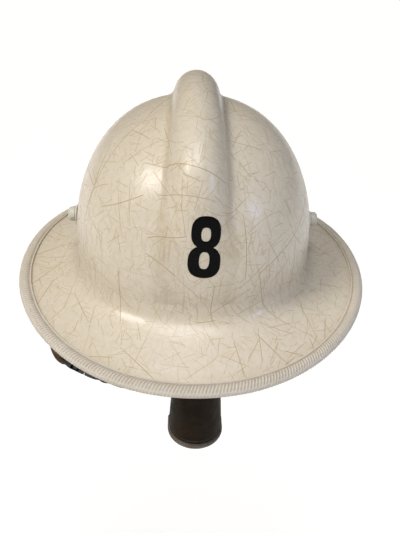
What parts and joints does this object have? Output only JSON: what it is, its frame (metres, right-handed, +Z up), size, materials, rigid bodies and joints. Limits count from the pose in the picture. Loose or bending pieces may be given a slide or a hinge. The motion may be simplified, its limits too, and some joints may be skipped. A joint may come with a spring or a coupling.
{
  "type": "firefighter helmet",
  "caption": "Composite firefighter helmet with a full brim, a rounded central comb, side buttons, an inner suspension with headband, and a chin strap with buckle and chin cup.",
  "frame": {"origin": "centre of the head opening, level with the brim edge at its two sides", "axes": "-Y is the front of the helmet, +X is to the right in the front view, +Z is up through the comb"},
  "size_m": [0.3046, 0.35, 0.3165],
  "materials": {
    "shell_paint": "aged cream semi-gloss glass-fibre shell, scratched",
    "edge_binding": "off-white ribbed edge binding",
    "numeral_vinyl": "glossy black vinyl",
    "button_plastic": "greyish off-white moulded plastic",
    "steel": "plated steel, slightly dulled",
    "impact_foam": null,
    "nylon": "moulded dark grey nylon",
    "webbing": "woven grey-olive webbing",
    "tan_leather": "worn tan leather",
    "dark_leather": "dark brown leather, slight sheen",
    "pale_leather": "grey-brown suede leather",
    "black_plastic": "moulded black acetal"
  },
  "bodies": {
    "helmet": {"outer_shell": "shell_paint", "brim_edge_trim": "edge_binding", "number_eight": "numeral_vinyl", "impact_pad": "impact_foam", "suspension_ring": "nylon", "crown_patch": "tan_leather", "headband": "dark_leather", "brow_pad": "pale_leather", "cradle_strap_lengthwise": "webbing", "cradle_strap_cross_a": "webbing", "cradle_strap_cross_b": "webbing", "clip_front_left": "nylon", "clip_front_right": "nylon", "clip_rear_left": "nylon", "clip_rear_right": "nylon", "band_tab_left": "nylon", "band_tab_right": "nylon", "band_tab_front_left": "nylon", "band_tab_front_right": "nylon", "button_flange_left": "button_plastic", "side_button_left": "button_plastic", "button_stud_left": "steel", "stud_nut_left": "steel", "strap_bracket_left": "steel", "strap_pivot_left": "steel", "button_flange_right": "button_plastic", "side_button_right": "button_plastic", "button_stud_right": "steel", "stud_nut_right": "steel", "strap_bracket_right": "steel", "strap_pivot_right": "steel"},
    "nape_assembly": {"nape_band": "dark_leather", "adjuster_housing": "nylon"},
    "size_knob": {"adjuster_knob": "nylon"},
    "chin_strap": {"strap_hanger_left": "steel", "strap_hanger_right": "steel", "chin_strap_upper": "tan_leather", "chin_strap_left": "tan_leather", "chin_strap_right": "tan_leather", "buckle_socket": "black_plastic", "buckle_insert": "black_plastic", "cup_loop_left": "steel", "cup_loop_right": "steel"},
    "strap_length_slider": {"strap_slider": "black_plastic"},
    "prong_front": {"buckle_prong_front": "black_plastic"},
    "prong_rear": {"buckle_prong_rear": "black_plastic"},
    "chin_cup": {"chin_cup": "dark_leather", "chin_cup_lining": "pale_leather", "chin_cup_rim": "pale_leather", "cup_rivet_left": "steel", "cup_rivet_right": "steel"}
  },
  "joints": [
    {"name": "chin_strap_swing", "type": "hinge", "parent": "helmet", "child": "chin_strap", "pos_m": [0, 0, -0.002], "axis": [1, 0, 0], "range_deg": [-35, 60]},
    {"name": "chin_cup_tilt", "type": "hinge", "parent": "chin_strap", "child": "chin_cup", "pos_m": [0.0065, -0.066, -0.092], "axis": [1, 0, 0], "range_deg": [-15, 15]},
    {"name": "strap_slider_slide", "type": "slide", "parent": "chin_strap", "child": "strap_length_slider", "axis": [-0.2502, -0.433, -0.866], "range_m": [-0.009, 0.009]},
    {"name": "prong_front_squeeze", "type": "hinge", "parent": "chin_strap", "child": "prong_front", "pos_m": [-0.09621, -0.05339, -0.09075], "axis": [-0.3718, -0.0209, -0.9281], "range_deg": [0, 9], "stiffness_Nm_per_rad": 0.05},
    {"name": "prong_rear_squeeze", "type": "hinge", "parent": "chin_strap", "child": "prong_rear", "pos_m": [-0.09361, -0.03909, -0.09211], "axis": [-0.3718, -0.0209, -0.9281], "range_deg": [-9, 0], "stiffness_Nm_per_rad": 0.05},
    {"name": "nape_band_slide", "type": "slide", "parent": "helmet", "child": "nape_assembly", "axis": [0, 1, 0], "range_m": [-0.01, 0.005]},
    {"name": "size_knob_turn", "type": "hinge", "parent": "nape_assembly", "child": "size_knob", "pos_m": [0, 0.118, -0.0216], "axis": [0, 1, 0], "range_deg": [-125, 62.6]}
  ],
  "couplings": [
    {"joint": "prong_rear_squeeze", "follows": "prong_front_squeeze", "ratio": -1},
    {"joint": "size_knob_turn", "follows": "nape_band_slide", "rad_per_m": 218}
  ]
}
